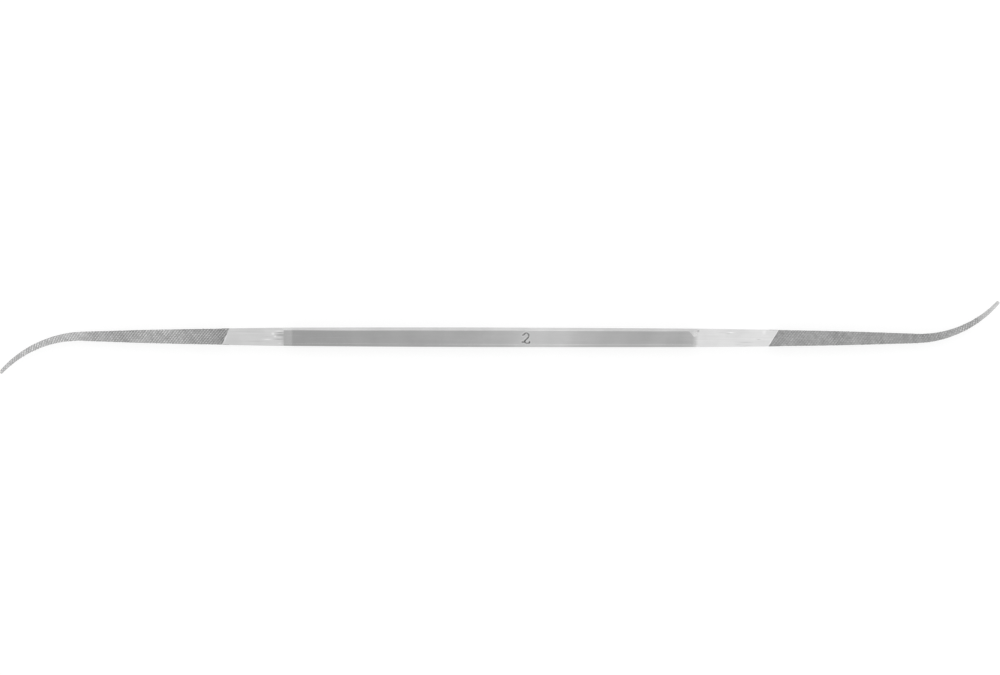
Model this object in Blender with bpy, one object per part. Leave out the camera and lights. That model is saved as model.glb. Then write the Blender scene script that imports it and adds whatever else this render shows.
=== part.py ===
"""Double-ended riffler file, 150 mm long.

The tool is one bar of tool steel. Its middle is a chamfered square shank, which the hand
holds. Each end of the shank ramps down to a plain square neck, and beyond each neck a square
file end tapers and curls to a small blunt tip, with double-cut teeth on its four sides.

Metres, +Z up. The tool lies on the flat of its shank. X runs along the shank, the right end
curls towards +Y and the left end towards -Y. The origin is on the underside, at the middle.
Each zone of the bar is its own solid, and neighbours meet face to face on a square section.
"""

import math

import bmesh
import bpy
from mathutils import Matrix, Vector

# Whole tool, from tip to tip
OVERALL_LENGTH = 0.150

# Shank: the grip takes the length that the ends and necks leave, its ramps included
SHANK_THICKNESS = 0.00295
SHANK_MIDDLE_WIDTH = 0.00295
SHOULDER_WIDTH = 0.00276
SHANK_CHAMFER = 0.00043
LEFT_RAMP_LENGTH = 0.00135
RIGHT_RAMP_LENGTH = 0.00045
SHANK_HALF_SPANS = 5

# Necks: square bars, on which the shank's chamfers die away over the run-out
LEFT_NECK_LENGTH = 0.0077
RIGHT_NECK_LENGTH = 0.0104
CHAMFER_RUN_OUT = 0.0004

# File ends: square, tapered in width and thickness alike
STRAIGHT_FILE_LENGTH = 0.0225
FILE_START_WIDTH = 0.00252
MID_TAPER_WIDTH = 0.00216
CURL_START_WIDTH = 0.00148
MID_CURL_WIDTH = 0.00102
TIP_WIDTH = 0.00062
CURL_RADIUS = 0.0165
CURL_SWEEP = math.radians(48)

# Teeth: two crossing courses of chisel lines, which begin behind a slanted first line
PLAIN_ROOT_LENGTH = 0.00025
FIRST_LINE_SLANT = math.radians(58)
UPCUT_PITCH = 0.00056
UPCUT_SLANT = math.radians(50)
OVERCUT_PITCH = 0.00061
OVERCUT_SLANT = math.radians(48)
TOOTH_HEIGHT = 0.00011
TOOTH_HEIGHT_TO_WIDTH_SHARE = 0.09
TOOTH_LEAN_SHARE = 0.22
CHISEL_SNAP_SHARE = 0.12

# Steel finishes: linear base colour and roughness
SHANK_FINISH = ((0.42, 0.42, 0.42), 0.38)
NECK_FINISH = ((0.64, 0.64, 0.64), 0.30)
FILE_FINISH = ((0.36, 0.36, 0.36), 0.42)

# Stations along the centreline, measured from the middle of the tool
MID_HEIGHT = SHANK_THICKNESS / 2
CURL_LENGTH = CURL_RADIUS * CURL_SWEEP
CURL_START = OVERALL_LENGTH / 2 - (CURL_RADIUS + TIP_WIDTH / 2) * math.sin(CURL_SWEEP)
TIP_END = CURL_START + CURL_LENGTH
FILE_START = CURL_START - STRAIGHT_FILE_LENGTH
LEFT_SHOULDER = -(FILE_START - LEFT_NECK_LENGTH)
RIGHT_SHOULDER = FILE_START - RIGHT_NECK_LENGTH
TEETH_START = (
    FILE_START + PLAIN_ROOT_LENGTH + FILE_START_WIDTH / 2 / math.tan(FIRST_LINE_SLANT)
)

# The bar's width at its stations, which a smooth curve joins
WIDTH_STATIONS = (
    (0, SHANK_MIDDLE_WIDTH),
    ((RIGHT_SHOULDER - LEFT_SHOULDER) / 2, SHOULDER_WIDTH),
    (FILE_START, FILE_START_WIDTH),
    ((FILE_START + CURL_START) / 2, MID_TAPER_WIDTH),
    (CURL_START, CURL_START_WIDTH),
    ((CURL_START + TIP_END) / 2, MID_CURL_WIDTH),
    (TIP_END, TIP_WIDTH),
)

# The four sides of the bar: the direction that each faces, and the direction across it
SIDES = (
    (Vector((0, 0, 1)), Vector((0, 1, 0))),
    (Vector((0, 1, 0)), Vector((0, 0, -1))),
    (Vector((0, 0, -1)), Vector((0, -1, 0))),
    (Vector((0, -1, 0)), Vector((0, 0, 1))),
)
ALONG = Vector((1, 0, 0))
NO_SIDE = -1


def clear_scene():
    for old in list(bpy.data.objects):
        bpy.data.objects.remove(old, do_unlink=True)


def steel(name, finish):
    colour, roughness = finish
    material = bpy.data.materials.new(name)
    material.use_nodes = True
    shader = material.node_tree.nodes["Principled BSDF"]
    shader.inputs["Base Color"].default_value = (*colour, 1)
    shader.inputs["Metallic"].default_value = 1
    shader.inputs["Roughness"].default_value = roughness
    return material


def add_solid(name, mesh, finish, rotation=0.0):
    """Makes a named object of a mesh that is centred on the bar's axis, and lifts it to rest."""
    data = bpy.data.meshes.new(name)
    mesh.to_mesh(data)
    data.materials.append(steel(name + "_steel", finish))
    solid = bpy.data.objects.new(name, data)
    solid.location.z = MID_HEIGHT
    solid.rotation_euler.z = rotation
    bpy.context.scene.collection.objects.link(solid)


def width_slope(index):
    """Slope of the width curve at a station. The curve is level at the tool's middle."""
    if index == 0:
        return 0
    before = WIDTH_STATIONS[index - 1]
    after = WIDTH_STATIONS[min(index + 1, len(WIDTH_STATIONS) - 1)]
    return (after[1] - before[1]) / (after[0] - before[0])


def bar_width(along):
    """Width of the bar at a distance from the middle, either way, on the smooth curve."""
    distance = min(abs(along), TIP_END)
    index = max(i for i, station in enumerate(WIDTH_STATIONS[:-1]) if station[0] <= distance)
    start, first = WIDTH_STATIONS[index]
    end, last = WIDTH_STATIONS[index + 1]
    span = end - start
    t = (distance - start) / span
    return (
        first * (2 * t**3 - 3 * t**2 + 1)
        + last * (3 * t**2 - 2 * t**3)
        + width_slope(index) * span * (t**3 - 2 * t**2 + t)
        + width_slope(index + 1) * span * (t**3 - t**2)
    )


def square_ring(mesh, along):
    """Four corners of the bar's plain section, anticlockwise seen from +X."""
    half = bar_width(along) / 2
    corners = ((half, half), (-half, half), (-half, -half), (half, -half))
    return [mesh.verts.new((along, y, z)) for y, z in corners]


def chamfered_ring(mesh, along, thickness):
    """Eight corners of the shank's section, anticlockwise seen from +X: two for each edge."""
    half_y, half_z = bar_width(along) / 2, thickness / 2
    flat_y, flat_z = half_y - SHANK_CHAMFER, half_z - SHANK_CHAMFER
    corners = (
        (half_y, flat_z),
        (flat_y, half_z),
        (-flat_y, half_z),
        (-half_y, flat_z),
        (-half_y, -flat_z),
        (-flat_y, -half_z),
        (flat_y, -half_z),
        (half_y, -flat_z),
    )
    return [mesh.verts.new((along, y, z)) for y, z in corners]


def skin(mesh, ring, following):
    """Joins two rings that have the same number of corners."""
    for i in range(len(ring)):
        j = (i + 1) % len(ring)
        mesh.faces.new((ring[i], ring[j], following[j], following[i]))


def skin_run_out(mesh, chamfered, square):
    """Joins a chamfered ring to a square one. Each chamfer dies away at a corner."""
    for i, corner in enumerate(square):
        low, high, next_low = (chamfered[(2 * i + k) % 8] for k in range(3))
        mesh.faces.new((low, high, corner))
        mesh.faces.new((high, next_low, square[(i + 1) % 4], corner))


def close_ends(mesh, first, last):
    mesh.faces.new(first)
    mesh.faces.new(last)
    bmesh.ops.recalc_face_normals(mesh, faces=mesh.faces)


def shoulder_ring(mesh, shoulder):
    """Section at a shoulder, where shank and neck meet: as thick as it is wide."""
    return chamfered_ring(mesh, shoulder, bar_width(shoulder))


def make_shank():
    """Grip: the chamfered bar, widest at the middle of the tool, with a ramp at each end."""
    mesh = bmesh.new()
    left, right = LEFT_SHOULDER + LEFT_RAMP_LENGTH, RIGHT_SHOULDER - RIGHT_RAMP_LENGTH
    places = [left * (1 - i / SHANK_HALF_SPANS) for i in range(SHANK_HALF_SPANS)]
    places += [right * i / SHANK_HALF_SPANS for i in range(SHANK_HALF_SPANS + 1)]
    rings = [shoulder_ring(mesh, LEFT_SHOULDER)]
    rings += [chamfered_ring(mesh, along, SHANK_THICKNESS) for along in places]
    rings.append(shoulder_ring(mesh, RIGHT_SHOULDER))
    for ring, following in zip(rings, rings[1:]):
        skin(mesh, ring, following)
    close_ends(mesh, rings[0], rings[-1])
    add_solid("shank", mesh, SHANK_FINISH)


def make_neck(name, shoulder):
    """Neck: takes up the shoulder's section, runs out to a square and tapers to the file end."""
    mesh = bmesh.new()
    end = math.copysign(1, shoulder)
    chamfered = shoulder_ring(mesh, shoulder)
    ground = square_ring(mesh, shoulder + end * CHAMFER_RUN_OUT)
    last = square_ring(mesh, end * FILE_START)
    skin_run_out(mesh, chamfered, ground)
    skin(mesh, ground, last)
    close_ends(mesh, chamfered, last)
    add_solid(name, mesh, NECK_FINISH)


def side_of(face):
    """Index of the side that a face of the plain file end turns to, or NO_SIDE at its ends."""
    directions = [outward for outward, _ in SIDES] + [ALONG, -ALONG]
    best = max(range(len(directions)), key=lambda i: face.normal.dot(directions[i]))
    return best if best < len(SIDES) else NO_SIDE


def straight_file_end():
    """The right file end before it is chiselled and curled: a straight square taper."""
    mesh = bmesh.new()
    root = square_ring(mesh, FILE_START)
    tip = square_ring(mesh, TIP_END)
    skin(mesh, root, tip)
    close_ends(mesh, root, tip)
    side_layer = mesh.faces.layers.int.new("side")
    for face in mesh.faces:
        face[side_layer] = side_of(face)
    return mesh, side_layer


def line_direction(across, slant, way):
    """Normal of the plane of a chisel line, which points to the tip and leans across."""
    return ALONG * math.sin(slant) + across * (way * math.cos(slant))


def first_line(across):
    """Point and normal of the slanted plane at which a side's teeth begin."""
    return ALONG * TEETH_START, line_direction(across, FIRST_LINE_SLANT, -1)


def toothed_faces(mesh, side_layer, index):
    point, normal = first_line(SIDES[index][1])
    return [
        face
        for face in mesh.faces
        if face[side_layer] == index and (face.calc_center_median() - point).dot(normal) > 0
    ]


def split(mesh, faces, point, normal, snap=0.0):
    """Divides faces along a plane. A corner nearer the plane than the snap counts as on it."""
    edges = {edge for face in faces for edge in face.edges}
    corners = {vert for face in faces for vert in face.verts}
    geometry = [*faces, *edges, *corners]
    bmesh.ops.bisect_plane(mesh, geom=geometry, plane_co=point, plane_no=normal, dist=snap)


def chisel_side(mesh, side_layer, index):
    """Divides one side behind its first line into diamonds, with both courses of lines."""
    across = SIDES[index][1]
    point, normal = first_line(across)
    whole = [face for face in mesh.faces if face[side_layer] == index]
    split(mesh, whole, point, normal)
    for pitch, slant, way in ((UPCUT_PITCH, UPCUT_SLANT, -1), (OVERCUT_PITCH, OVERCUT_SLANT, 1)):
        normal = line_direction(across, slant, way)
        for line in range(math.ceil((TIP_END - FILE_START) / pitch)):
            point = ALONG * (TIP_END - (line + 0.5) * pitch)
            faces = toothed_faces(mesh, side_layer, index)
            split(mesh, faces, point, normal, CHISEL_SNAP_SHARE * pitch)


def tooth_height(along):
    return min(TOOTH_HEIGHT, TOOTH_HEIGHT_TO_WIDTH_SHARE * bar_width(along))


def lined_corners(mesh, side_layer):
    """Corners of the diamonds, each with the outward directions of the sides that it is on."""
    corners = {}
    for index, (outward, _) in enumerate(SIDES):
        cells = set(toothed_faces(mesh, side_layer, index))
        for vert in {vert for face in cells for vert in face.verts}:
            on_side = {face for face in vert.link_faces if face[side_layer] == index}
            if on_side <= cells:
                corners.setdefault(vert, []).append(outward)
    return corners


def raise_teeth(mesh, side_layer):
    """Turns each diamond into a leaning pyramid: its lines sink, and its middle stays up."""
    crossing = 1 / math.tan(UPCUT_SLANT) + 1 / math.tan(OVERCUT_SLANT)
    full_diamond = UPCUT_PITCH * OVERCUT_PITCH / crossing
    corners = lined_corners(mesh, side_layer)
    points = []
    for index, (outward, _) in enumerate(SIDES):
        cells = toothed_faces(mesh, side_layer, index)
        points += [(vert, outward) for vert in bmesh.ops.poke(mesh, faces=cells)["verts"]]
    for vert, outward in points:
        area = sum(face.calc_area() for face in vert.link_faces)
        share = min(1, math.sqrt(area / full_diamond))
        vert.co.x += TOOTH_LEAN_SHARE * UPCUT_PITCH * share
        vert.co -= outward * tooth_height(vert.co.x) * (1 - share)
    for vert, directions in corners.items():
        for outward in directions:
            vert.co -= outward * tooth_height(vert.co.x)


def swell(mesh):
    """Takes the straight taper to the bar's curved profile."""
    first, last = bar_width(FILE_START), bar_width(TIP_END)
    for vert in mesh.verts:
        t = (vert.co.x - FILE_START) / (TIP_END - FILE_START)
        ratio = bar_width(vert.co.x) / (first + (last - first) * t)
        vert.co.y *= ratio
        vert.co.z *= ratio


def curl(mesh):
    """Bends the straight file end about an axis beside it, from the start of the curl."""
    for vert in mesh.verts:
        turn = (vert.co.x - CURL_START) / CURL_RADIUS
        if turn > 0:
            reach = CURL_RADIUS - vert.co.y
            vert.co.x = CURL_START + reach * math.sin(turn)
            vert.co.y = CURL_RADIUS - reach * math.cos(turn)


def make_file_ends():
    """File ends: the left one is the right one turned half round."""
    mesh, side_layer = straight_file_end()
    for index in range(len(SIDES)):
        chisel_side(mesh, side_layer, index)
    raise_teeth(mesh, side_layer)
    bmesh.ops.triangulate(mesh, faces=[face for face in mesh.faces if len(face.verts) > 3])
    swell(mesh)
    curl(mesh)
    add_solid("right_file_end", mesh, FILE_FINISH)
    add_solid("left_file_end", mesh, FILE_FINISH, rotation=math.pi)


clear_scene()
make_shank()
make_neck("left_neck", LEFT_SHOULDER)
make_neck("right_neck", RIGHT_SHOULDER)
make_file_ends()
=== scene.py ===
import math

import bmesh
import bpy
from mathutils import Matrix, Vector, noise


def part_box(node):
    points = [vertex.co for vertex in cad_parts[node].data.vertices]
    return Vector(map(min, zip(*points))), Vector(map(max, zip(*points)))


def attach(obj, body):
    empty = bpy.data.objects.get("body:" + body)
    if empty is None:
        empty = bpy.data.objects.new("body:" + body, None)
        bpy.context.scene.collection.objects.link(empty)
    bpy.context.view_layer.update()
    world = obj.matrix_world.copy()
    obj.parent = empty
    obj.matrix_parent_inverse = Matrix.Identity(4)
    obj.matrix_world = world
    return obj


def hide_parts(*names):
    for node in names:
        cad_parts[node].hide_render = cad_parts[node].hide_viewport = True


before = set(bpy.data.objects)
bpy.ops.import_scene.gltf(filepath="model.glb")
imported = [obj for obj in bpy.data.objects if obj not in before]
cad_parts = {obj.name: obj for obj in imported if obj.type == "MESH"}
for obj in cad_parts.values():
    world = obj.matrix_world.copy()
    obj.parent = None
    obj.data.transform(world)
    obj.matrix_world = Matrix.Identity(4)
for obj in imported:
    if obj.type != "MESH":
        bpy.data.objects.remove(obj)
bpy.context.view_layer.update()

# A double-ended riffler file, lying on a white table and seen from straight above. Lengths are
# in metres, but where a comment says millimetres. X runs along the tool and Z points up at the
# camera.
MM = 0.001
TOOL_LENGTH = 150 * MM

# Sizes that the frame gives
SHANK_LOW, SHANK_HIGH = (Vector(corner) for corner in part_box("shank"))
LEFT_SHOULDER, RIGHT_SHOULDER = SHANK_LOW.x, SHANK_HIGH.x
FILE_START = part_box("right_neck")[1][0]
THICKNESS = SHANK_HIGH.z - SHANK_LOW.z
AXIS_HEIGHT = (SHANK_LOW.z + SHANK_HIGH.z) / 2
AXIS = Vector((0, 0, AXIS_HEIGHT))

# Widths of the bar at its stations, from the middle to the tip
SHANK_MIDDLE_WIDTH = 2.95 * MM
SHOULDER_WIDTH = 2.76 * MM
FILE_START_WIDTH = 2.52 * MM
MID_TAPER_WIDTH = 2.16 * MM
CURL_START_WIDTH = 1.48 * MM
MID_CURL_WIDTH = 1.02 * MM
TIP_WIDTH = 0.57 * MM

# Shank and necks
CHAMFER = 0.41 * MM
SHOULDER_CHAMFER = 0.34 * MM
LEFT_RAMP = 1.35 * MM
RIGHT_RAMP = 0.45 * MM
CHAMFER_RUN_OUT = 0.4 * MM
SHANK_EDGE = 0.05 * MM
NECK_EDGE = 0.03 * MM
# The shank's curve is drawn in so many straight spans on each side of its middle
SHANK_HALF_SPANS = 5

# A ground slip across the shank's upper right corner
SLIP_LENGTH = 1.3 * MM
SLIP_WIDTH = 0.95 * MM
SLIP_DEPTH = 0.11 * MM

# Curl
CURL_RADIUS = 16.5 * MM
CURL_SWEEP = math.radians(48)
CURL_START = TOOL_LENGTH / 2 - (CURL_RADIUS + TIP_WIDTH / 2) * math.sin(CURL_SWEEP)
TIP_SOFTENING = 0.12 * MM
TIP_END = CURL_START + CURL_RADIUS * CURL_SWEEP + TIP_SOFTENING

# Teeth, in two crossing courses. A tooth's crest lies at a share of its pitch, and the overcut
# notches the upcut's crests by a share of their height.
UPCUT_PITCH = 0.43 * MM
UPCUT_SLANT = math.radians(49)
UPCUT_CREST_SHARE = 0.72
OVERCUT_PITCH = 0.47 * MM
OVERCUT_SLANT = math.radians(47)
OVERCUT_CREST_SHARE = 0.5
OVERCUT_NOTCH_SHARE = 0.55
LEFT_TOOTH_DEPTH = 0.11 * MM
RIGHT_TOOTH_DEPTH = 0.08 * MM
TOOTH_DEPTH_TO_WIDTH_SHARE = 0.09
TOOTH_WEAR = 0.6
# Steel without teeth is as bright as a tooth at this share of its height
PLAIN_LEVEL = 0.4

# The slanted line at which each end's teeth begin, and the strip behind it where a burr's glints
# are painted on
LEFT_TEETH_START = FILE_START + 0.97 * MM
LEFT_FIRST_LINE_SLANT = math.radians(66)
RIGHT_TEETH_START = FILE_START + 1.04 * MM
RIGHT_FIRST_LINE_SLANT = math.radians(58)
BURR_WIDTH = 0.3 * MM
BURR_LENGTH = 0.35 * MM
BURR_PAINTED_GLINT = 1.0

# The bar's width at its stations, which a smooth curve joins
WIDTH_STATIONS = (
    (0, SHANK_MIDDLE_WIDTH),
    ((RIGHT_SHOULDER - LEFT_SHOULDER) / 2, SHOULDER_WIDTH),
    (FILE_START, FILE_START_WIDTH),
    ((FILE_START + CURL_START) / 2, MID_TAPER_WIDTH),
    (CURL_START, CURL_START_WIDTH),
    ((CURL_START + TIP_END) / 2, MID_CURL_WIDTH),
    (TIP_END, TIP_WIDTH),
)

# The four sides of the bar: the direction that each faces, and the direction across it
SIDES = (
    (Vector((0, 0, 1)), Vector((0, 1, 0))),
    (Vector((0, 1, 0)), Vector((0, 0, -1))),
    (Vector((0, 0, -1)), Vector((0, -1, 0))),
    (Vector((0, -1, 0)), Vector((0, 0, 1))),
)
ALONG = Vector((1, 0, 0))

# Verts nearer to a cut than this count as lying on it
CUT_TOLERANCE = 0.0001 * MM
# Verts nearer to a place than this are at it
PLACE_TOLERANCE = 0.001 * MM
# An edge that spans more than this along X runs along the bar
SHORT_EDGE = 0.1 * MM
# A face whose normal lies nearer to a direction than this cosine faces that way: fully, or as
# part of a side that tapers or has been worked
FULLY_FACING = 0.99
MOSTLY_FACING = 0.9


# Measures

def width_slope(index):
    """Slope of the width curve at a station. The curve is level at the tool's middle."""
    if index == 0:
        return 0
    before = WIDTH_STATIONS[index - 1]
    after = WIDTH_STATIONS[min(index + 1, len(WIDTH_STATIONS) - 1)]
    return (after[1] - before[1]) / (after[0] - before[0])


def bar_width(along):
    """Width of the bar at a distance from the middle, either way."""
    distance = min(abs(along), TIP_END)
    index = max(i for i, station in enumerate(WIDTH_STATIONS[:-1]) if station[0] <= distance)
    start, first = WIDTH_STATIONS[index]
    end, last = WIDTH_STATIONS[index + 1]
    span = end - start
    t = (distance - start) / span
    return (
        first * (2 * t**3 - 3 * t**2 + 1)
        + last * (3 * t**2 - 2 * t**3)
        + width_slope(index) * span * (t**3 - 2 * t**2 + t)
        + width_slope(index + 1) * span * (t**3 - t**2)
    )


# Modelling helpers

def deselect_all():
    for item in bpy.context.selected_objects:
        item.select_set(False)


def add_bar(name, low_x, high_x, width, height):
    """A box along the tool's axis, in edit mode and ready to be shaped."""
    deselect_all()
    middle = ((low_x + high_x) / 2, 0, AXIS_HEIGHT)
    bpy.ops.mesh.primitive_cube_add(size=1, location=middle, scale=(high_x - low_x, width, height))
    piece = bpy.context.object
    piece.name = piece.data.name = name
    bpy.ops.object.transform_apply(location=True, rotation=True, scale=True)
    bpy.ops.object.mode_set(mode="EDIT")
    return piece


def select(piece, kind, test):
    """Selects the shown faces, edges or verts of the piece that pass a test, and no others."""
    mode = {"faces": "FACE", "edges": "EDGE", "verts": "VERT"}[kind]
    bpy.ops.mesh.select_mode(type=mode)
    bpy.ops.mesh.select_all(action="DESELECT")
    mesh = bmesh.from_edit_mesh(piece.data)
    for item in getattr(mesh, kind):
        if not item.hide and test(item):
            item.select_set(True)
    mesh.select_flush_mode()
    bmesh.update_edit_mesh(piece.data)


def cut(place, normal, **settings):
    """Cuts the selected faces along a plane."""
    bpy.ops.mesh.bisect(plane_co=place, plane_no=normal, threshold=CUT_TOLERANCE, **settings)


def cut_all(place, normal, **settings):
    """Cuts all faces that are not hidden along a plane."""
    bpy.ops.mesh.select_all(action="SELECT")
    cut(place, normal, **settings)


def trim(corners, outward):
    """Cuts off what lies outside the plane of three points, and closes the cut."""
    normal = (corners[1] - corners[0]).cross(corners[2] - corners[0]).normalized()
    if normal.dot(outward) < 0:
        normal = -normal
    cut_all(corners[0], normal, use_fill=True, clear_outer=True)


def length_along(edge):
    """How far an edge spans along X."""
    return abs(edge.verts[0].co.x - edge.verts[1].co.x)


def bevel_edges(piece, test, offset, segments):
    select(piece, "edges", test)
    bpy.ops.mesh.bevel(offset=offset, offset_type="OFFSET", segments=segments)


def resize_at(piece, along, ratios, test=lambda place: True):
    """Resizes the section at a place along the bar, or those of its verts that pass a test."""
    select(
        piece,
        "verts",
        lambda vert: abs(vert.co.x - along) < PLACE_TOLERANCE and test(vert.co - AXIS),
    )
    bpy.ops.transform.resize(value=(1, *ratios), center_override=(along, 0, AXIS_HEIGHT))


def grid_upper_face(piece, low, high, cells, lines, cuts):
    """Divides a stretch of the upper face into a fine grid, for marks to be worked into."""

    def in_stretch(face):
        return face.normal.z > FULLY_FACING and low < face.calc_center_median().x < high

    for cell in range(cells + 1):
        along = low + (high - low) * cell / cells
        select(piece, "faces", lambda face: face.normal.z > FULLY_FACING)
        cut((along, 0, 0), ALONG)
    for line in lines:
        select(piece, "faces", in_stretch)
        cut((0, line, 0), (0, 1, 0))
    select(piece, "faces", lambda face: in_stretch(face) and len(face.verts) == 4)
    bpy.ops.mesh.subdivide(number_cuts=cuts)


def nearness(place, stroke, half_width):
    """Distance of a point from a stroke, and its weight there: 1 on the stroke, 0 beside it."""
    nearest, weight = math.inf, 0
    for (*start, first), (*end, last) in zip(stroke, stroke[1:]):
        start, end = Vector(start), Vector(end)
        step = end - start
        share = min(1, max(0, (place - start).dot(step) / step.length_squared))
        away = (place - start - step * share).length
        pressed = first + (last - first) * share
        nearest = min(nearest, away)
        weight = max(weight, pressed * max(0, 1 - away / (half_width * pressed)))
    return nearest, weight


def dress(piece, *materials):
    """Gives the piece its materials, the first of them everywhere."""
    for material in materials:
        piece.data.materials.append(material)


def give_selected(piece, material):
    """Gives the selected faces one of the piece's materials."""
    piece.active_material_index = piece.data.materials.find(material.name)
    bpy.ops.object.material_slot_assign()


def give_faces(piece, material, test):
    """Gives the faces that pass a test one of the piece's materials."""
    select(piece, "faces", test)
    give_selected(piece, material)


def finish_piece(piece, node_name):
    bpy.ops.object.mode_set(mode="OBJECT")
    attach(piece, "root")
    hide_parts(node_name)


# Node helpers

def node(tree, kind, inputs=None, **settings):
    made = tree.nodes.new(kind)
    for key, value in settings.items():
        setattr(made, key, value)
    for key, value in (inputs or {}).items():
        if isinstance(value, bpy.types.NodeSocket):
            tree.links.new(value, made.inputs[key])
        else:
            made.inputs[key].default_value = value
    return made


def math_node(tree, operation, first, second):
    return node(tree, "ShaderNodeMath", {0: first, 1: second}, operation=operation).outputs[0]


def product(tree, first, *others):
    for other in others:
        first = math_node(tree, "MULTIPLY", first, other)
    return first


def mix(tree, share, first, second):
    inputs = {"Factor": share, "A": first, "B": second}
    return node(tree, "ShaderNodeMix", inputs, data_type="FLOAT").outputs["Result"]


def map_range(tree, value, from_range, to_range):
    inputs = {
        "Value": value,
        "From Min": from_range[0],
        "From Max": from_range[1],
        "To Min": to_range[0],
        "To Max": to_range[1],
    }
    return node(tree, "ShaderNodeMapRange", inputs).outputs["Result"]


def patches(tree, place, per_metre, detail, roughness, distortion=0.0):
    """Soft random patches, so many to the metre."""
    inputs = {
        "Vector": place,
        "Scale": per_metre,
        "Detail": detail,
        "Roughness": roughness,
        "Distortion": distortion,
    }
    return node(tree, "ShaderNodeTexNoise", inputs).outputs["Fac"]


def place_on(tree, kind="Object"):
    """Place of the shaded point, whole and in its parts."""
    place = node(tree, "ShaderNodeTexCoord").outputs[kind]
    return place, node(tree, "ShaderNodeSeparateXYZ", {0: place}).outputs


def attribute(tree, name):
    return node(tree, "ShaderNodeAttribute", attribute_name=name).outputs["Fac"]


def new_group(name, inputs, outputs):
    """A shader node group with float inputs (name and value) and float outputs."""
    tree = bpy.data.node_groups.new(name, "ShaderNodeTree")
    for label, value in inputs:
        socket = tree.interface.new_socket(label, in_out="INPUT", socket_type="NodeSocketFloat")
        socket.default_value = value
    for label in outputs:
        tree.interface.new_socket(label, in_out="OUTPUT", socket_type="NodeSocketFloat")
    return tree, node(tree, "NodeGroupInput").outputs, node(tree, "NodeGroupOutput").inputs


def place_group(tree, group, inputs=None):
    return node(tree, "ShaderNodeGroup", inputs, node_tree=group).outputs


# Shared effects

# A scratch begins where its noise is above the first value, and is full at the second
SCRATCH_RANGE = (0.66, 0.74)


def lengthwise_lines_group():
    """Fine lines along the tool, as grinding and polishing leave them, and a few scratches."""
    tree, given, out = new_group(
        "LengthwiseLines",
        (("Lines per metre", 9000.0), ("Length ratio", 60.0), ("Scratches per metre", 5000.0)),
        ("Lines", "Scratches"),
    )
    _, parts = place_on(tree)
    shortened = math_node(tree, "DIVIDE", parts["X"], given["Length ratio"])
    inputs = {"X": shortened, "Y": parts["Y"], "Z": parts["Z"]}
    squeezed = node(tree, "ShaderNodeCombineXYZ", inputs).outputs[0]
    lines = patches(tree, squeezed, given["Lines per metre"], detail=3.0, roughness=0.6)
    sparse = patches(
        tree,
        squeezed,
        given["Scratches per metre"],
        detail=1.0,
        roughness=0.4,
        distortion=0.3,
    )
    tree.links.new(lines, out["Lines"])
    tree.links.new(map_range(tree, sparse, SCRATCH_RANGE, (0.0, 1.0)), out["Scratches"])
    return tree


def grain_group():
    """Fine even grain of the steel, and a broad mottle of handling and oil."""
    tree, given, out = new_group(
        "SteelGrain",
        (("Grains per metre", 16000.0), ("Mottles per metre", 350.0)),
        ("Grain", "Mottle"),
    )
    place, _ = place_on(tree)
    grain = patches(tree, place, given["Grains per metre"], detail=2.0, roughness=0.7)
    mottle = patches(tree, place, given["Mottles per metre"], detail=3.0, roughness=0.55)
    tree.links.new(grain, out["Grain"])
    tree.links.new(mottle, out["Mottle"])
    return tree


LINES = lengthwise_lines_group()
GRAIN = grain_group()


# Steel

# Stretches of a noise's values that are spread over an effect's range
LINES_SPREAD = (0.25, 0.75)
GRAIN_SPREAD = (0.3, 0.7)

MOTTLE_STRENGTH = 0.04
SCRATCH_SHEEN = 0.06
GRAIN_SMOOTHING = 0.05
GRAIN_ROUGHENING = 0.07
GRAIN_BUMP_SHARE = 0.4


def around_one(strength):
    return 1 - strength, 1 + strength


def tone_along(tree, stops):
    """Grey tone that changes along X. A stop is a distance from the middle in mm, and a tone."""
    _, parts = place_on(tree)
    first, last = stops[0][0], stops[-1][0]
    share = map_range(tree, parts["X"], (first * MM, last * MM), (0.0, 1.0))
    ramp = node(tree, "ShaderNodeValToRGB", {"Fac": share})
    ramp.color_ramp.interpolation = "EASE"
    points = ramp.color_ramp.elements
    while len(points) < len(stops):
        points.new(0.5)
    for point, (distance, _) in zip(list(points), stops):
        point.position = (distance - first) / (last - first)
    for point, (_, tone) in zip(points, stops):
        point.color = (tone, tone, tone, 1)
    return node(tree, "ShaderNodeRGBToBW", {0: ramp.outputs["Color"]}).outputs[0]


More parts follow.
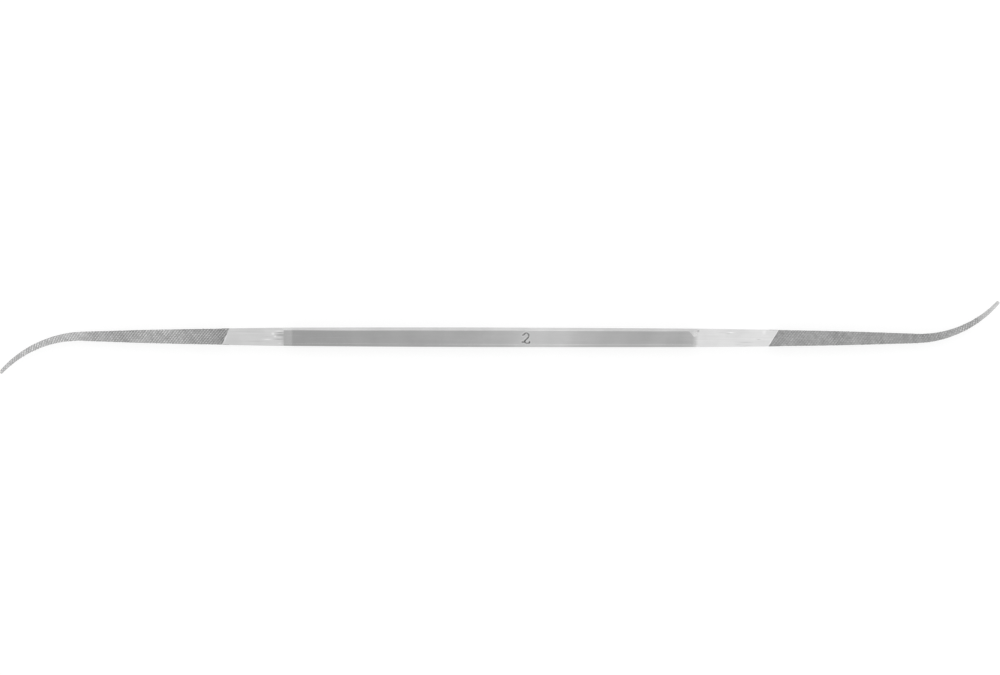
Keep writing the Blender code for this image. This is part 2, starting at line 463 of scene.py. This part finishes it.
def steel_material(
    name, tones, lines_per_metre, lines_strength, roughness, bump_depth=0.002 * MM, worked=None
):
    """Bare steel: its tone along the tool, varied by lines, grain, mottle and scratches."""
    material = bpy.data.materials.new(name)
    material.use_nodes = True
    tree = material.node_tree
    shader = tree.nodes["Principled BSDF"]
    shader.inputs["Metallic"].default_value = 1.0
    brushed = place_group(tree, LINES, {"Lines per metre": lines_per_metre})
    lines, scratches = brushed["Lines"], brushed["Scratches"]
    grain = place_group(tree, GRAIN)
    base = tone_along(tree, tones)
    if worked is not None:
        base = worked(tree, base)
    toned = product(
        tree,
        base,
        map_range(tree, lines, LINES_SPREAD, around_one(lines_strength)),
        map_range(tree, grain["Mottle"], GRAIN_SPREAD, around_one(MOTTLE_STRENGTH)),
        map_range(tree, scratches, (0.0, 1.0), (1.0, 1 + SCRATCH_SHEEN)),
    )
    channels = {"Red": toned, "Green": toned, "Blue": toned}
    colour = node(tree, "ShaderNodeCombineColor", channels).outputs[0]
    tree.links.new(colour, shader.inputs["Base Color"])
    rough_range = (roughness - GRAIN_SMOOTHING, roughness + GRAIN_ROUGHENING)
    rough = map_range(tree, grain["Grain"], GRAIN_SPREAD, rough_range)
    tree.links.new(rough, shader.inputs["Roughness"])
    raised = math_node(tree, "ADD", lines, product(tree, grain["Grain"], GRAIN_BUMP_SHARE))
    height = math_node(tree, "SUBTRACT", raised, scratches)
    inputs = {"Height": height, "Strength": 1.0, "Distance": bump_depth}
    tree.links.new(node(tree, "ShaderNodeBump", inputs).outputs[0], shader.inputs["Normal"])
    return material


def shaded(dark, bright):
    """Darkens struck and ground hollows with painted shade and brightens rims, marks and burrs
    with painted highlight.
    """

    def work(tree, base):
        shade = map_range(tree, attribute(tree, "shade"), (-1.0, 1.0), (dark, bright))
        return product(tree, base, shade)

    return work


# Painted shade darkens the teeth's grooves and a painted highlight brightens their crests
CREST_LEVELS = (0.06, 0.62)
GROOVE_SHADE_AND_CREST_HIGHLIGHT_TONES = (0.62, 1.28)
# Filings that have packed in leave this share of the teeth's contrast, and this tone
PACKED_SHARE = 0.28
PACKED_TONE = 0.94
PACKINGS_PER_METRE = 260.0
CLEARING_RANGE = (0.40, 0.58)
# The right end is the more packed, but less so towards its tip
NECK_ENDS = (-40 * MM, 40 * MM)
CLEARING_BY_END = (0.09, -0.17)
RIGHT_TIP_HALF = (52 * MM, 64 * MM)
CLEARING_BY_TIP = (0.0, 0.12)
OIL_STAINS_PER_METRE = 1500.0
OIL_STRENGTH = 0.14


def tooth_tone(tree, base):
    """Painted shade between the teeth and painted highlight on their crests, less so where filings
    have packed in.
    """
    crest = attribute(tree, "crest")
    place, parts = place_on(tree)
    stains = patches(tree, place, OIL_STAINS_PER_METRE, detail=2.0, roughness=0.65)
    packing = patches(tree, place, PACKINGS_PER_METRE, detail=2.0, roughness=0.65)
    oiled = map_range(tree, stains, GRAIN_SPREAD, around_one(OIL_STRENGTH))
    toned = map_range(tree, crest, CREST_LEVELS, GROOVE_SHADE_AND_CREST_HIGHLIGHT_TONES)
    by_end = map_range(tree, parts["X"], NECK_ENDS, CLEARING_BY_END)
    by_tip = map_range(tree, parts["X"], RIGHT_TIP_HALF, CLEARING_BY_TIP)
    cleared = math_node(tree, "ADD", packing, math_node(tree, "ADD", by_end, by_tip))
    open_share = map_range(tree, cleared, CLEARING_RANGE, (PACKED_SHARE, 1.0))
    shown = mix(tree, open_share, PACKED_TONE, toned)
    return product(tree, base, product(tree, shown, oiled))


# Tones along the tool: distance from the middle in millimetres, and tone
# The shank's tone rises to a painted highlight between about 5.5 and 9 mm from the middle: a broad
# lamp's reflection painted into the steel
SHANK_TONES_WITH_PAINTED_HIGHLIGHT = (
    (-32.4, 0.402),
    (-31.2, 0.415),
    (-30.9, 0.345),
    (-16, 0.378),
    (-6, 0.410),
    (0.5, 0.459),
    (5.5, 0.551),
    (9, 0.545),
    (13, 0.470),
    (20, 0.425),
    (27, 0.442),
    (28.8, 0.470),
    (29.2, 0.550),
    (29.6, 0.707),
)
# The +Y chamfers' tones: the shank's steel painted lighter, as if lit from the +Y side, with a
# painted highlight near 5.5 mm
PAINTED_LIT_CHAMFER_TONES = (
    (-32.4, 0.64),
    (-31.2, 0.62),
    (-30.4, 0.60),
    (-10, 0.60),
    (5.5, 0.66),
    (14, 0.60),
    (30, 0.60),
)
NECK_TONES = ((-42, 0.600), (-28, 0.640), (28, 0.747), (42, 0.768))
CUT_TONES = (
    (-76, 0.660),
    (-66, 0.660),
    (-58, 0.512),
    (-50, 0.572),
    (-44, 0.490),
    (-41.5, 0.410),
    (41.5, 0.370),
    (44, 0.398),
    (55, 0.386),
    (64, 0.382),
    (70, 0.490),
    (76, 0.700),
)
# Edge strips, rubbed bright and with a painted edge highlight, are so much brighter than the face
# beside them, up to a limit
RUBBED_AND_HIGHLIGHT_SHARE = 1.34
RUBBED_AND_HIGHLIGHT_TONE_LIMIT = 0.70

SHANK_STEEL = steel_material(
    "shank_steel",
    SHANK_TONES_WITH_PAINTED_HIGHLIGHT,
    lines_per_metre=7000.0,
    lines_strength=0.03,
    roughness=0.32,
    worked=shaded(0.40, 1.60),
)
# Steel for the rubbed edge strips, which also carries a painted edge highlight
RUBBED_AND_HIGHLIGHT_STEEL = steel_material(
    "rubbed_and_highlit_edge_steel",
    tuple((place, min(RUBBED_AND_HIGHLIGHT_TONE_LIMIT, tone * RUBBED_AND_HIGHLIGHT_SHARE)) for place, tone in SHANK_TONES_WITH_PAINTED_HIGHLIGHT),
    lines_per_metre=7000.0,
    lines_strength=0.08,
    roughness=0.28,
)
# A brighter copy of the shank's steel: painted light on the chamfers that face the bright +Y side
PAINTED_LIT_CHAMFER_STEEL = steel_material(
    "painted_lit_chamfer_steel",
    PAINTED_LIT_CHAMFER_TONES,
    lines_per_metre=7000.0,
    lines_strength=0.03,
    roughness=0.30,
)
NECK_STEEL = steel_material(
    "neck_steel",
    NECK_TONES,
    lines_per_metre=5000.0,
    lines_strength=0.04,
    roughness=0.40,
    worked=shaded(0.50, 1.50),
)
CUT_STEEL = steel_material(
    "cut_steel",
    CUT_TONES,
    lines_per_metre=4000.0,
    lines_strength=0.05,
    roughness=0.40,
    bump_depth=0.003 * MM,
    worked=tooth_tone,
)


# Marks on the upper face. All sizes and places here are in millimetres.

# The number's strokes: X and Y from its middle, and how hard the stroke is pressed there
CUT_NUMBER = (
    (-0.52, 0.34, 0.75),
    (-0.36, 0.37, 0.95),
    (-0.24, 0.50, 1.20),
    (-0.10, 0.64, 0.80),
    (0.08, 0.68, 0.65),
    (0.26, 0.60, 0.85),
    (0.40, 0.40, 1.25),
    (0.42, 0.22, 1.00),
    (0.36, 0.03, 1.15),
    (0.12, -0.22, 1.05),
    (-0.10, -0.42, 0.95),
    (-0.24, -0.62, 1.25),
)
CUT_NUMBER_FOOT = (
    (-0.56, -0.67, 0.90),
    (-0.40, -0.70, 0.95),
    (-0.25, -0.66, 1.15),
    (-0.08, -0.80, 0.80),
    (0.12, -0.87, 0.75),
    (0.34, -0.86, 0.80),
    (0.50, -0.77, 1.25),
    (0.54, -0.60, 0.85),
)
CUT_NUMBER_PLACE = Vector((3.97, -0.02))
CUT_NUMBER_REACH = 0.95
STROKE_HALF_WIDTH = 0.13
STROKE_DEPTH = 0.075
# Painted shade in the number's grooves
STROKE_PAINTED_SHADE = 1.8
STROKE_UNEVENNESS = 0.7
STROKE_PATCH = 0.28
RIM_DISTANCE = 0.21
RIM_WIDTH = 0.055
RIM_HEIGHT = 0.012
# Painted highlight on the number's rims
RIM_PAINTED_HIGHLIGHT = 0.16
GOUGE_DEPTH = 0.012


def stamp(place):
    """Height of the stamped number at a place of the upper face, and its shade: painted shade in
    the grooves and a painted highlight on the rims.
    """
    near = place - CUT_NUMBER_PLACE
    strokes = [nearness(near, path, STROKE_HALF_WIDTH) for path in (CUT_NUMBER, CUT_NUMBER_FOOT)]
    away = min(distance for distance, _ in strokes)
    groove = max(weight for _, weight in strokes)
    groove *= 1 + STROKE_UNEVENNESS * noise.noise(near.to_3d() / STROKE_PATCH)
    rim = math.exp(-(((away - RIM_DISTANCE) / RIM_WIDTH) ** 2))
    height = RIM_HEIGHT * rim - STROKE_DEPTH * groove
    return height, RIM_PAINTED_HIGHLIGHT * rim - min(1, STROKE_PAINTED_SHADE * groove)


def gouges(marks):
    """Height and shade of ground marks: X, Y, half length, half width and shade of each. The shade
    is painted shade below 0 and painted highlight above 0, for how the marks catch the light, and
    partly also the ground steel's own uneven tone.
    """

    def work(place):
        height = shade = 0
        for x, y, half_length, half_width, strength in marks:
            reach = ((place.x - x) / half_length) ** 2 + ((place.y - y) / half_width) ** 2
            weight = math.exp(-reach)
            shade += strength * weight
            height -= GOUGE_DEPTH * abs(strength) * weight
        return height, max(-1, min(1, shade))

    return work


LEFT_MARKS = gouges(
    (
        (-33.00, -0.30, 0.80, 0.90, -0.12),
        (-33.05, 0.84, 0.50, 0.08, 0.55),
        (-32.85, 0.64, 0.50, 0.08, -0.8),
        (-33.90, 0.46, 0.22, 0.18, 0.6),
        (-32.85, 0.26, 0.60, 0.12, -0.8),
        (-33.60, 0.06, 0.18, 0.12, 0.6),
        (-33.00, -0.14, 0.40, 0.08, 0.15),
        (-33.05, -0.36, 0.55, 0.08, -0.6),
        (-32.20, 0.30, 0.40, 0.60, -0.25),
        (-32.30, -0.60, 0.35, 0.80, -0.3),
        (-34.75, -0.38, 0.60, 0.07, 0.65),
        (-34.80, 0.02, 0.50, 0.05, -0.2),
        (-36.40, -0.68, 1.20, 0.10, -0.2),
        (-32.90, -0.98, 0.25, 0.06, 0.4),
        (-38.50, 0.80, 1.60, 0.06, -0.15),
    )
)
RIGHT_MARKS = gouges(
    (
        (29.75, 1.00, 0.14, 0.12, -0.9),
        (29.60, -0.10, 0.14, 1.40, -0.16),
        (34.65, 0.80, 0.40, 0.07, 0.7),
        (34.30, 0.64, 0.40, 0.06, -0.4),
        (33.20, 0.84, 0.60, 0.05, -0.2),
        (38.80, -0.22, 0.30, 0.06, -0.5),
        (36.90, -0.68, 1.00, 0.06, -0.45),
        (35.80, -1.00, 0.40, 0.05, -0.25),
        (37.20, -1.10, 0.50, 0.05, -0.25),
        (39.60, 0.90, 0.30, 0.30, 0.3),
    )
)


def work_upper_face(piece, test, marks):
    """Works marks into the verts of the upper face and keeps their shade for the finish."""
    bpy.ops.object.mode_set(mode="OBJECT")
    mesh = bmesh.new()
    mesh.from_mesh(piece.data)
    shade = mesh.verts.layers.float.new("shade")
    for vert in mesh.verts:
        on_top = [face.normal.z > MOSTLY_FACING for face in vert.link_faces]
        if any(on_top) and test(vert.co.x):
            height, vert[shade] = marks(vert.co.xy / MM)
            vert.co.z += height * MM * all(on_top)
    mesh.to_mesh(piece.data)
    mesh.free()
    bpy.ops.object.mode_set(mode="EDIT")


# Shank: a chamfered bar with softened edges

CHAMFER_EDGE_ANGLE = math.radians(20)
CHAMFER_FACING = 0.3
# An edge strip's faces lean from the flat beside them by between about 8 and 40 degrees, and
# hardly at all along the bar. These strips are rubbed bright and carry a painted edge highlight.
EDGE_STRIP_FACING = (0.76, FULLY_FACING)
EDGE_STRIP_LEAN_ALONG = 0.1

NUMBER_GRID_CELLS = 4
NUMBER_GRID_LINES = (-0.5 * MM, 0, 0.5 * MM)
NUMBER_GRID_CUTS = 11


def shank_half_sizes(along):
    """Half the shank's width and height at a place. Its height is ground at the shoulders."""
    half_width = bar_width(along) / 2
    at_shoulder = along in (LEFT_SHOULDER, RIGHT_SHOULDER)
    return half_width, half_width if at_shoulder else THICKNESS / 2


def reaches(distance, half_size):
    """Whether a distance from the axis, either way, is that of a flat."""
    return abs(abs(distance) - half_size) < PLACE_TOLERANCE


def narrow_chamfers(shank, along):
    """Widens the four flats at a place, so that the chamfers between them are narrower there."""
    half_width, half_height = shank_half_sizes(along)
    width_ratio = (half_width - SHOULDER_CHAMFER) / (half_width - CHAMFER)
    height_ratio = (half_height - SHOULDER_CHAMFER) / (half_height - CHAMFER)
    resize_at(shank, along, (width_ratio, 1), lambda place: reaches(place.z, half_height))
    resize_at(shank, along, (1, height_ratio), lambda place: reaches(place.y, half_width))


def is_back_chamfer(face):
    """Whether a face is a chamfer on the bar's +Y side."""
    return face.normal.y > CHAMFER_FACING and abs(face.normal.z) > CHAMFER_FACING


# Whether a face is an edge strip, rubbed bright and with a painted highlight
def is_rubbed_and_highlit_edge(face):
    facing = max(abs(face.normal.y), abs(face.normal.z))
    least, most = EDGE_STRIP_FACING
    return least < facing < most and abs(face.normal.x) < EDGE_STRIP_LEAN_ALONG


def slip_corners():
    """Three points of the plane that grinding slipped along at the upper right corner."""
    flat_edge = bar_width(RIGHT_SHOULDER) / 2 - SHOULDER_CHAMFER
    ramp_start = RIGHT_SHOULDER - RIGHT_RAMP
    top = SHANK_HIGH.z
    return (
        Vector((RIGHT_SHOULDER - SLIP_LENGTH, flat_edge, top)),
        Vector((ramp_start, flat_edge - SLIP_WIDTH, top)),
        Vector((ramp_start, flat_edge, top - SLIP_DEPTH)),
    )


def shape_shank():
    shank = add_bar("grip_bar", LEFT_SHOULDER, RIGHT_SHOULDER, THICKNESS, THICKNESS)
    left, right = LEFT_SHOULDER + LEFT_RAMP, RIGHT_SHOULDER - RIGHT_RAMP
    places = [left * (1 - i / SHANK_HALF_SPANS) for i in range(SHANK_HALF_SPANS)]
    places += [right * i / SHANK_HALF_SPANS for i in range(SHANK_HALF_SPANS + 1)]
    for along in places:
        cut_all((along, 0, 0), ALONG)
    for along in (LEFT_SHOULDER, *places, RIGHT_SHOULDER):
        half_width, half_height = shank_half_sizes(along)
        resize_at(shank, along, (2 * half_width / THICKNESS, 2 * half_height / THICKNESS))

    def long_corner(edge):
        place = edge.verts[0].co - AXIS
        at_corner = min(abs(place.y), abs(place.z)) > THICKNESS / 4
        return at_corner and length_along(edge) > SHORT_EDGE

    def chamfer_edge(edge):
        is_sharp = edge.calc_face_angle(0) > CHAMFER_EDGE_ANGLE
        return is_sharp and length_along(edge) > SHORT_EDGE

    bevel_edges(shank, long_corner, CHAMFER, segments=1)
    for along in (LEFT_SHOULDER, left, right, RIGHT_SHOULDER):
        narrow_chamfers(shank, along)
    bevel_edges(shank, chamfer_edge, SHANK_EDGE, segments=2)

    dress(shank, SHANK_STEEL, PAINTED_LIT_CHAMFER_STEEL, RUBBED_AND_HIGHLIGHT_STEEL)
    # The +Y chamfers get the painted-lit copy of the steel
    give_faces(shank, PAINTED_LIT_CHAMFER_STEEL, is_back_chamfer)
    # The edge strips get the rubbed steel with its painted highlight
    give_faces(shank, RUBBED_AND_HIGHLIGHT_STEEL, is_rubbed_and_highlit_edge)
    trim(slip_corners(), Vector((0, 0, 1)))
    # The slip's facet gets the same rubbed steel with its painted highlight
    give_selected(shank, RUBBED_AND_HIGHLIGHT_STEEL)

    low, high = ((CUT_NUMBER_PLACE.x + way * CUT_NUMBER_REACH) * MM for way in (-1, 1))
    grid_upper_face(shank, low, high, NUMBER_GRID_CELLS, NUMBER_GRID_LINES, NUMBER_GRID_CUTS)
    work_upper_face(shank, lambda along: low < along < high, stamp)
    finish_piece(shank, "shank")


# Necks: ground square bars, on which the shank's chamfers run out

NECK_CORNER_ANGLE = math.radians(60)
NECK_GRID_SHARES = (-1, -0.5, 0, 0.5, 1)
NECK_GRID_CUTS = 6
# A neck's last verts meet the file end, so no mark moves them
MARKS_END = FILE_START - 0.01 * MM


def shape_neck(name, node_name, shoulder, marks, run_out_steel):
    end = math.copysign(1, shoulder)
    low, high = sorted((shoulder, end * FILE_START))
    width = bar_width(shoulder)
    half = width / 2
    neck = add_bar(name, low, high, width, width)
    run_out = shoulder + end * CHAMFER_RUN_OUT
    cut_all((run_out, 0, 0), ALONG)
    for along in (run_out, end * FILE_START):
        ratio = bar_width(along) / width
        resize_at(neck, along, (ratio, ratio))

    for (outward, _), (sideways, _) in zip(SIDES, SIDES[1:] + SIDES[:1]):
        corner = (outward + sideways) * half
        trim(
            (
                ALONG * shoulder + corner - outward * SHOULDER_CHAMFER + AXIS,
                ALONG * shoulder + corner - sideways * SHOULDER_CHAMFER + AXIS,
                ALONG * run_out + corner + AXIS,
            ),
            corner,
        )

    def long_edge(edge):
        is_corner = edge.calc_face_angle(0) > NECK_CORNER_ANGLE
        return is_corner and length_along(edge) > 2 * CHAMFER_RUN_OUT

    def at_run_out(face):
        away = abs(face.calc_center_median().x - shoulder)
        return away < CHAMFER_RUN_OUT and is_back_chamfer(face)

    bevel_edges(neck, long_edge, NECK_EDGE, segments=2)
    dress(neck, NECK_STEEL, run_out_steel)
    give_faces(neck, run_out_steel, at_run_out)
    lines = [(half - SHOULDER_CHAMFER) * share for share in NECK_GRID_SHARES]
    cells = round((high - low) / CHAMFER_RUN_OUT)
    grid_upper_face(neck, low, high, cells, lines, NECK_GRID_CUTS)
    work_upper_face(neck, lambda along: abs(along) < MARKS_END, marks)
    finish_piece(neck, node_name)


# File ends: a straight taper is chiselled on its four sides, then swelled and curled

def line_normal(across, slant, way):
    return ALONG * math.sin(slant) + across * (way * math.cos(slant))


def first_line(across, teeth_start, slant):
    """A point on the slanted line at which a side's teeth begin, and the line's normal."""
    return ALONG * teeth_start + AXIS, line_normal(across, slant, -1)


def chisel_side(blade, outward, across, start, first_normal):
    """Cuts one side's lines: a groove line and a crest line for each tooth of each course."""
    select(blade, "faces", lambda face: face.normal.dot(outward) < MOSTLY_FACING)
    bpy.ops.mesh.hide(unselected=False)
    for back in (0, BURR_WIDTH):
        cut_all(start - first_normal * back, first_normal)

    def is_plain(face):
        return (face.calc_center_median() - start).dot(first_normal) < 0

    give_faces(blade, NECK_STEEL, is_plain)
    bpy.ops.mesh.hide(unselected=False)
    courses = (
        (UPCUT_PITCH, UPCUT_SLANT, -1, UPCUT_CREST_SHARE),
        (OVERCUT_PITCH, OVERCUT_SLANT, 1, OVERCUT_CREST_SHARE),
    )
    for pitch, slant, way, crest_share in courses:
        normal = line_normal(across, slant, way)
        for tooth in range(math.ceil((TIP_END - FILE_START) / pitch) + 1):
            for share in (0, crest_share):
                cut_all(ALONG * (TIP_END - (tooth - share) * pitch) + AXIS, normal)
    bpy.ops.mesh.reveal(select=False)


def phase(place, across, pitch, slant, way):
    """How far a point lies through the tooth that it is on, from 0 to 1."""
    turns = (place - AXIS - ALONG * TIP_END).dot(line_normal(across, slant, way)) / math.sin(slant)
    return (turns / pitch) % 1


def chance(place, size):
    """A value from 0 to 1 that is the same within each small cube of space."""
    return (1 + noise.cell(place / size)) / 2


def tooth_level(place, across):
    """Height of a point of a side as a share of the teeth's depth: 1 at a crest, 0 in a groove."""
    forward = phase(place, across, UPCUT_PITCH, UPCUT_SLANT, -1)
    sideways = phase(place, across, OVERCUT_PITCH, OVERCUT_SLANT, 1)
    if forward < UPCUT_CREST_SHARE:
        rise = forward / UPCUT_CREST_SHARE
    else:
        rise = (1 - forward) / (1 - UPCUT_CREST_SHARE)
    notch = abs(sideways - OVERCUT_CREST_SHARE) / OVERCUT_CREST_SHARE
    worn = 1 - TOOTH_WEAR * chance(place, UPCUT_PITCH)
    return rise * (1 - OVERCUT_NOTCH_SHARE * notch) * worn


def sink_teeth(data, teeth_start, slant, tooth_depth):
    """Sinks each point of the four sides by its tooth, and keeps its level for the finish."""
    mesh = bmesh.new()
    mesh.from_mesh(data)
    crest = mesh.verts.layers.float.new("crest")
    shade = mesh.verts.layers.float.new("shade")
    moves = {}
    for outward, across in SIDES:
        start, first_normal = first_line(across, teeth_start, slant)
        faces = {face for face in mesh.faces if face.normal.dot(outward) > MOSTLY_FACING}
        for vert in {vert for face in faces for vert in face.verts}:
            beyond = (vert.co - start).dot(first_normal)
            if beyond > CUT_TOLERANCE:
                moves.setdefault(vert, []).append((outward, tooth_level(vert.co, across)))
            elif beyond > -CUT_TOLERANCE and faces.issuperset(vert.link_faces):
                # Painted glints of the burr on the strip's edge at the first line
                vert[shade] = BURR_PAINTED_GLINT * chance(vert.co, BURR_LENGTH)
    for vert in mesh.verts:
        vert[crest] = PLAIN_LEVEL
    for vert, steps in moves.items():
        depth = min(tooth_depth, TOOTH_DEPTH_TO_WIDTH_SHARE * bar_width(vert.co.x))
        vert[crest] = min(level for _, level in steps)
        vert.co -= sum((outward * (depth * (1 - level)) for outward, level in steps), Vector())
    mesh.to_mesh(data)
    mesh.free()


def swell_and_curl(data):
    """Takes the taper to the bar's curved profile, and bends it beyond the curl's start."""
    first, last = bar_width(FILE_START), bar_width(TIP_END)
    for vert in data.vertices:
        along, across, up = vert.co - AXIS
        t = (along - FILE_START) / (TIP_END - FILE_START)
        ratio = bar_width(along) / (first + (last - first) * t)
        across, up = across * ratio, up * ratio
        turn = max(0, (along - CURL_START) / CURL_RADIUS)
        if turn > 0:
            reach = CURL_RADIUS - across
            along = CURL_START + reach * math.sin(turn)
            across = CURL_RADIUS - reach * math.cos(turn)
        vert.co = Vector((along, across, up)) + AXIS


def shape_file_end(name, node_name, teeth_start, slant, tooth_depth):
    """The end is made at the right. The left end is then turned half round to its place."""
    width = bar_width(FILE_START)
    blade = add_bar(name, FILE_START, TIP_END, width, width)
    ratio = bar_width(TIP_END) / width
    resize_at(blade, TIP_END, (ratio, ratio))

    def at_tip(edge):
        return min(vert.co.x for vert in edge.verts) > CURL_START

    bevel_edges(blade, at_tip, TIP_SOFTENING, segments=1)
    dress(blade, CUT_STEEL, NECK_STEEL)
    for outward, across in SIDES:
        chisel_side(blade, outward, across, *first_line(across, teeth_start, slant))
    finish_piece(blade, node_name)
    sink_teeth(blade.data, teeth_start, slant, tooth_depth)
    swell_and_curl(blade.data)
    return blade


def shape_file_ends():
    shape_file_end(
        "right_cut_end",
        "right_file_end",
        RIGHT_TEETH_START,
        RIGHT_FIRST_LINE_SLANT,
        RIGHT_TOOTH_DEPTH,
    )
    left = shape_file_end(
        "left_cut_end",
        "left_file_end",
        LEFT_TEETH_START,
        LEFT_FIRST_LINE_SLANT,
        LEFT_TOOTH_DEPTH,
    )
    deselect_all()
    left.select_set(True)
    bpy.context.view_layer.objects.active = left
    left.rotation_euler.z = math.pi
    bpy.ops.object.transform_apply(location=True, rotation=True, scale=True)


# Table, light and camera

TABLE_SIZE = 4.0
TABLE_TONE = 0.30
TABLE_ROUGHNESS = 0.9
# Light of its own, by which the table looks white. It is seen and mirrored, but lights nothing.
TABLE_LIFT = 0.75

# Light tent: white all round its foot, and above that shaded by height and from front to back.
# Its heights go from 0 at the table's level to 1 overhead, and its depths from -1 to 1.
RIM_TO_ZENITH = (0.35, 0.95)
ZENITH_LEVEL = 0.95
FRONT_TO_BACK = (-0.8, 0.8)
FRONT_LEVEL = 0.84
BACK_LEVEL = 1.06
FOOT_TO_WALL = (0.1, 0.5)

SOFTBOX_PLACE = Vector((-0.2, 0.3, 0.7))
SOFTBOX_SIZE = 0.5
SOFTBOX_POWER = 0.35

# The picture is as wide as the tool is long
CAMERA_HEIGHT = 0.6
CAMERA_SHIFT = (0.075 * MM, -0.02 * MM)
CAMERA_TURN = math.radians(0.15)
SENSOR_WIDTH = 36
NEAREST_SEEN = 0.01


def make_table():
    deselect_all()
    bpy.ops.mesh.primitive_plane_add(size=TABLE_SIZE)
    table = bpy.context.object
    table.name = "table"
    material = bpy.data.materials.new("table_white")
    material.use_nodes = True
    tree = material.node_tree
    shader = tree.nodes["Principled BSDF"]
    shader.inputs["Base Color"].default_value = (TABLE_TONE, TABLE_TONE, TABLE_TONE, 1)
    shader.inputs["Roughness"].default_value = TABLE_ROUGHNESS
    shader.inputs["Emission Color"].default_value = (1, 1, 1, 1)
    rays = node(tree, "ShaderNodeLightPath").outputs
    mirrored = math_node(tree, "MAXIMUM", rays["Is Camera Ray"], rays["Is Glossy Ray"])
    seen = math_node(tree, "MAXIMUM", mirrored, rays["Is Transmission Ray"])
    tree.links.new(product(tree, seen, TABLE_LIFT), shader.inputs["Emission Strength"])
    table.data.materials.append(material)


def make_world():
    """A light tent: white at its foot, a little greyer overhead, and there brighter behind."""
    world = bpy.data.worlds.new("tent")
    world.use_nodes = True
    tree = world.node_tree
    _, parts = place_on(tree, "Generated")
    level = map_range(tree, parts["Z"], RIM_TO_ZENITH, (1.0, ZENITH_LEVEL))
    behind = map_range(tree, parts["Y"], FRONT_TO_BACK, (FRONT_LEVEL, BACK_LEVEL))
    overhead = map_range(tree, parts["Z"], FOOT_TO_WALL, (0.0, 1.0))
    across = mix(tree, overhead, 1.0, behind)
    background = tree.nodes["Background"]
    background.inputs["Color"].default_value = (1, 1, 1, 1)
    tree.links.new(product(tree, level, across), background.inputs["Strength"])
    bpy.context.scene.world = world


def make_softbox():
    light = bpy.data.lights.new("key_softbox", "AREA")
    light.size = SOFTBOX_SIZE
    light.energy = SOFTBOX_POWER
    lamp = bpy.data.objects.new("key_softbox", light)
    lamp.location = SOFTBOX_PLACE
    lamp.rotation_euler = (-SOFTBOX_PLACE).to_track_quat("-Z", "Y").to_euler()
    bpy.context.scene.collection.objects.link(lamp)


def make_camera():
    data = bpy.data.cameras.new("camera")
    data.sensor_width = SENSOR_WIDTH
    data.lens = SENSOR_WIDTH * CAMERA_HEIGHT / TOOL_LENGTH
    data.clip_start = NEAREST_SEEN
    camera = bpy.data.objects.new("camera", data)
    camera.location = (*CAMERA_SHIFT, CAMERA_HEIGHT + AXIS_HEIGHT)
    camera.rotation_euler = (0, 0, CAMERA_TURN)
    bpy.context.scene.collection.objects.link(camera)
    bpy.context.scene.camera = camera
    bpy.context.scene.view_settings.view_transform = "Standard"


make_camera()
shape_shank()
# The left neck's run-out on the +Y side gets the chamfers' painted-lit steel
shape_neck("left_ground_neck", "left_neck", LEFT_SHOULDER, LEFT_MARKS, PAINTED_LIT_CHAMFER_STEEL)
shape_neck("right_ground_neck", "right_neck", RIGHT_SHOULDER, RIGHT_MARKS, SHANK_STEEL)
shape_file_ends()
make_table()
make_world()
make_softbox()
